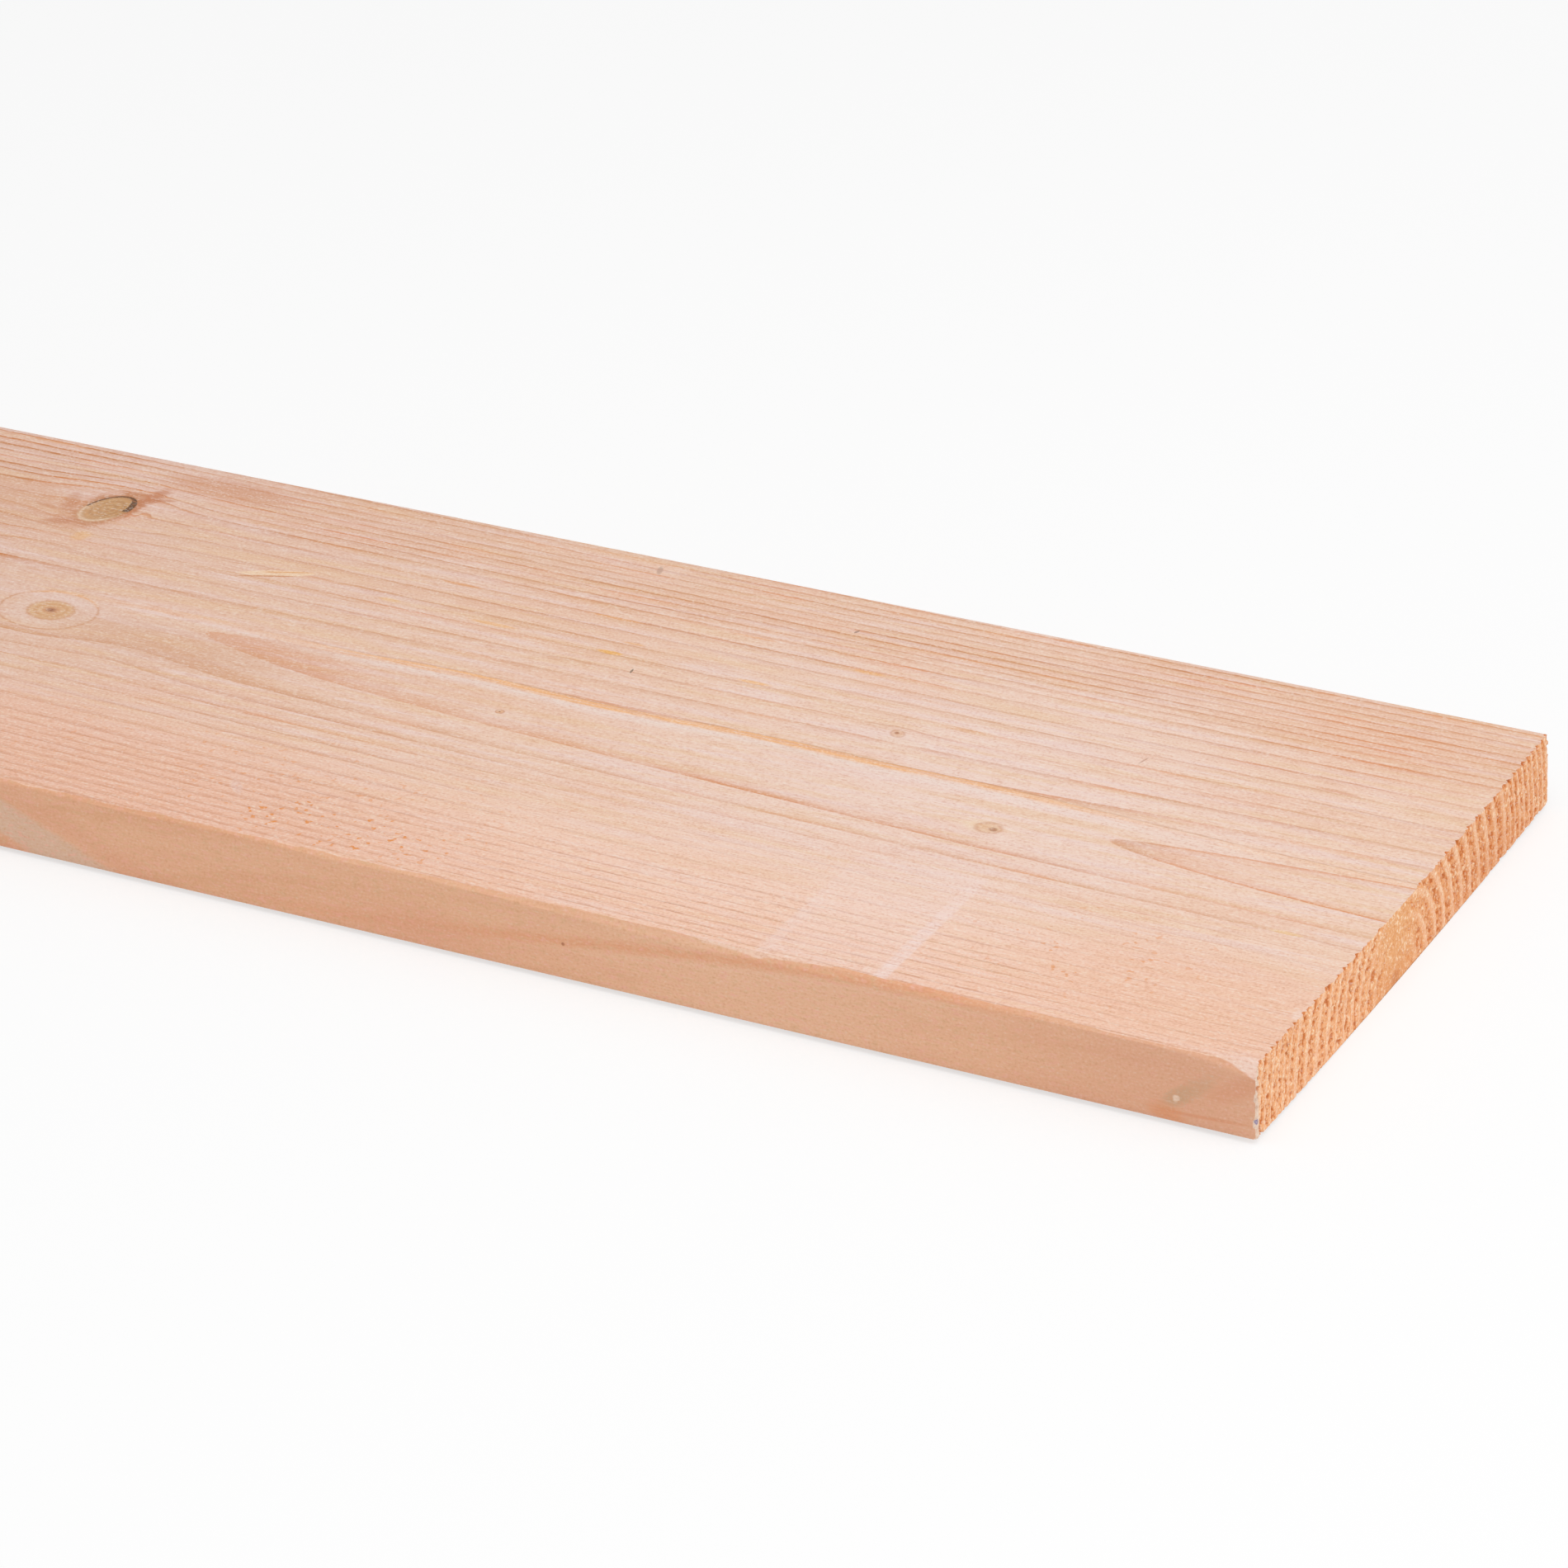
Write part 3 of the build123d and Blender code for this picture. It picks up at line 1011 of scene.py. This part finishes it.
def layGround(wood, along, across, up, nearSide):
    palest = wood.patch(along, across, (135, 5), (100, 85))
    ground = wood.blend(colours["fresh"], colours["pale"], palest)
    ground = wood.blend(ground, colours["aged"], wood.ramp(along, 120, 560))
    cloud = wood.noise([along, across, up], [80, 22, 22])
    ground = wood.blend(ground, colours["rosy"], wood.ramp(cloud, 0.45, 0.75) * 0.45)
    ground = wood.blend(ground, colours["peach"], wood.ramp(across, -25, -85) * 0.5)
    ground = wood.blend(ground, colours["nearWarm"], wood.ramp(across, -76, -92) * 0.2)
    farLeft = wood.ramp(along, 380, 450) * wood.ramp(across, 66, 86)
    ground = wood.blend(ground, colours["farPale"], farLeft * 0.6)
    streaks = wood.noise([along, across, up], [45, 2.6, 2.6])
    share = 0.55 - nearSide * 0.25
    ground = wood.blend(ground, colours["lilac"], wood.ramp(streaks, 0.5, 0.3) * share)
    return wood.blend(ground, colours["cream"], wood.ramp(streaks, 0.5, 0.7) * share)


def coverFibre(wood, colour, along, across, up, fine, specks, onNear):
    # fibre, in the colour and as relief
    fibre = wood.noise([along, across, up], [7, 0.45, 0.45])
    dust = (fine - 0.5) * 0.6 + (fibre - 0.5) * (0.6 - onNear * 0.35)
    colour = wood.blend(colour, colours["fibreDark"], wood.ramp(dust, 0.0, 0.22) * 0.42)
    colour = wood.blend(colour, colours["fibrePale"], wood.ramp(dust, 0.0, -0.22) * (0.45 - onNear * 0.25))
    relief = {"Strength": 0.4, "Distance": 0.00035, "Height": fibre * 0.6 + fine * 0.5 + specks * 0.6}
    return colour, wood.node("ShaderNodeBump", None, relief, "Normal")


def makeSoftwood():
    wood = Finish(bpy.data.materials.new("softwood"))
    along, across, up, facing = readPlace(wood)
    onTop = wood.ramp(facing[2], 0.35, 0.7)
    fromMiddle = (along - fullLength / 2).maths("ABSOLUTE")
    onEnd = wood.ramp(fromMiddle, fullLength / 2 - 3, fullLength / 2 - 2)
    onEnd = onEnd * wood.ramp(facing[0].maths("ABSOLUTE"), 0.15, 0.4)

    # noises that several finishes share
    ragged = wood.noise([along, across, up], [9, 1.3, 1.3])
    breakUp = ragged - 0.5
    fine = wood.noise([along, across, up], [0.9, 0.7, 0.7], 1.0)
    wander = wood.noise([along, across, up], [130, 26, 26])
    onNear = sideOverArris(wood, along, across, up, breakUp) * (1 - onEnd)

    # rings on their ground
    deadPlace = knotPlace(knots["dead"], along, across, up)
    byKnot = wood.ramp(knotRadius(wood, knots["dead"], deadPlace)[2], 2.7, 1.1)
    # away from the heart the rings climb, and their lines get crisper
    limb = wood.ramp((across + 6).maths("ABSOLUTE"), 3, 14)
    distance = bendRings(wood, along, across, up, breakUp, wander, byKnot, limb)
    nearSide = wood.ramp(across, -30, -62)
    phase, line, lineTone = drawLines(wood, along, across, distance, limb, ragged, byKnot, nearSide)
    colour = wood.blend(layGround(wood, along, across, up, nearSide), lineTone, line)

    # knots and the marks of the upper face
    for name, knot in knots.items():
        place = knotPlace(knot, along, across, up)
        if name == "dead":
            colour = paintDeadKnot(wood, colour, knot, place, breakUp, fine)
        else:
            colour = paintRoundKnot(wood, colour, knot, place, breakUp, wander - 0.5)
    top = paintMarks(wood, colour, along, across, breakUp)
    top = paintPins(wood, top, along, across, breakUp, fine)
    top = paintFeather(wood, top, along, across, breakUp)
    top = paintScuff(wood, top, along, across, breakUp)
    top, specks = paintSpecks(wood, top, along, across)
    # a painted highlight along the wane's lip, where its slope between the upper face and the side meets
    # the light, and frayed fibre at its end
    lipHighlight = wood.ramp(facing[1] * -1, 0.15, 0.5) * wood.ramp(across, -94, -96) * (1 - onEnd)
    top = wood.blend(top, colours["lipHighlight"], lipHighlight * (0.55 + breakUp))
    fray = wood.ramp(along + breakUp * 12, 16, 3) * wood.ramp(across, -93, -98)
    top = wood.blend(top, colours["frayed"], fray * (0.6 + breakUp))
    colour = wood.blend(colour, top, larger(onTop, lipHighlight))

    colour = wood.blend(colour, paintSide(wood, along, up, line, breakUp, fine), onNear)
    colour = wood.blend(colour, paintEnd(wood, across, up, phase, breakUp), onEnd)
    colour, bump = coverFibre(wood, colour, along, across, up, fine, specks, onNear)
    inputs = {"Base Color": colour, "Roughness": 0.78, "Specular IOR Level": 0.25, "Normal": bump}
    wood.finish(wood.node("ShaderNodeBsdfPrincipled", None, inputs, "BSDF"))
    print("softwood made")
    return wood.owner


# Lights, floor and background

studio = {
    "floorSize": 12.0,
    "floorGlow": 0.65,
    "worldStrength": 0.55,
    "keyLight": ((1.2, -0.6, 2.4), 27.0),
    "sideLight": ((3.0, 0.2, 1.1), 14.0),
    "lampSize": 2.0,
    "lampTarget": (0.65, 0, 0),
}


def makeFloor():
    bpy.ops.object.select_all(action="DESELECT")
    bpy.ops.mesh.primitive_plane_add(size=studio["floorSize"], location=(0, 0, 0))
    floor = bpy.context.object
    floor.name = "studioFloor"
    pale = Finish(bpy.data.materials.new("paleFloor"))
    seen = pale.node("ShaderNodeLightPath", None, None, "Is Camera Ray")
    lit = pale.node("ShaderNodeBsdfDiffuse", None, {"Color": (0.97, 0.97, 0.97, 1)})
    glow = pale.node("ShaderNodeEmission", None, {"Color": (1, 1, 1, 1), "Strength": 1.0})
    pale.finish(pale.node("ShaderNodeMixShader", None, [seen * studio["floorGlow"], lit, glow]))
    floor.data.materials.append(pale.owner)


def makeLights():
    # the camera sees white, and the plank gets a softer light
    sky = Finish(bpy.data.worlds.new("studioWorld"))
    bpy.context.scene.world = sky.owner
    seen = sky.node("ShaderNodeLightPath", None, None, "Is Camera Ray")
    white = {"Color": (1, 1, 1, 1), "Strength": 1.0}
    bright = sky.node("ShaderNodeBackground", None, white)
    soft = sky.node("ShaderNodeBackground", None, {**white, "Strength": studio["worldStrength"]})
    sky.finish(sky.node("ShaderNodeMixShader", None, [seen, soft, bright]), "ShaderNodeOutputWorld")
    for name in ("keyLight", "sideLight"):
        addLamp(name, *studio[name])


def addLamp(name, location, power):
    bpy.ops.object.light_add(type="AREA", location=location)
    lamp = bpy.context.object
    lamp.name = name
    lamp.data.size = studio["lampSize"]
    lamp.data.energy = power
    beam = Vector(studio["lampTarget"]) - lamp.location
    lamp.rotation_euler = beam.to_track_quat("-Z", "Y").to_euler()


placeCamera()
plank = makePlank()
plank.data.materials.append(makeSoftwood())
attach(plank, "root")
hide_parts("plank")
makeFloor()
makeLights()
print("stage made")

bpy.context.scene.view_settings.view_transform = "Standard"
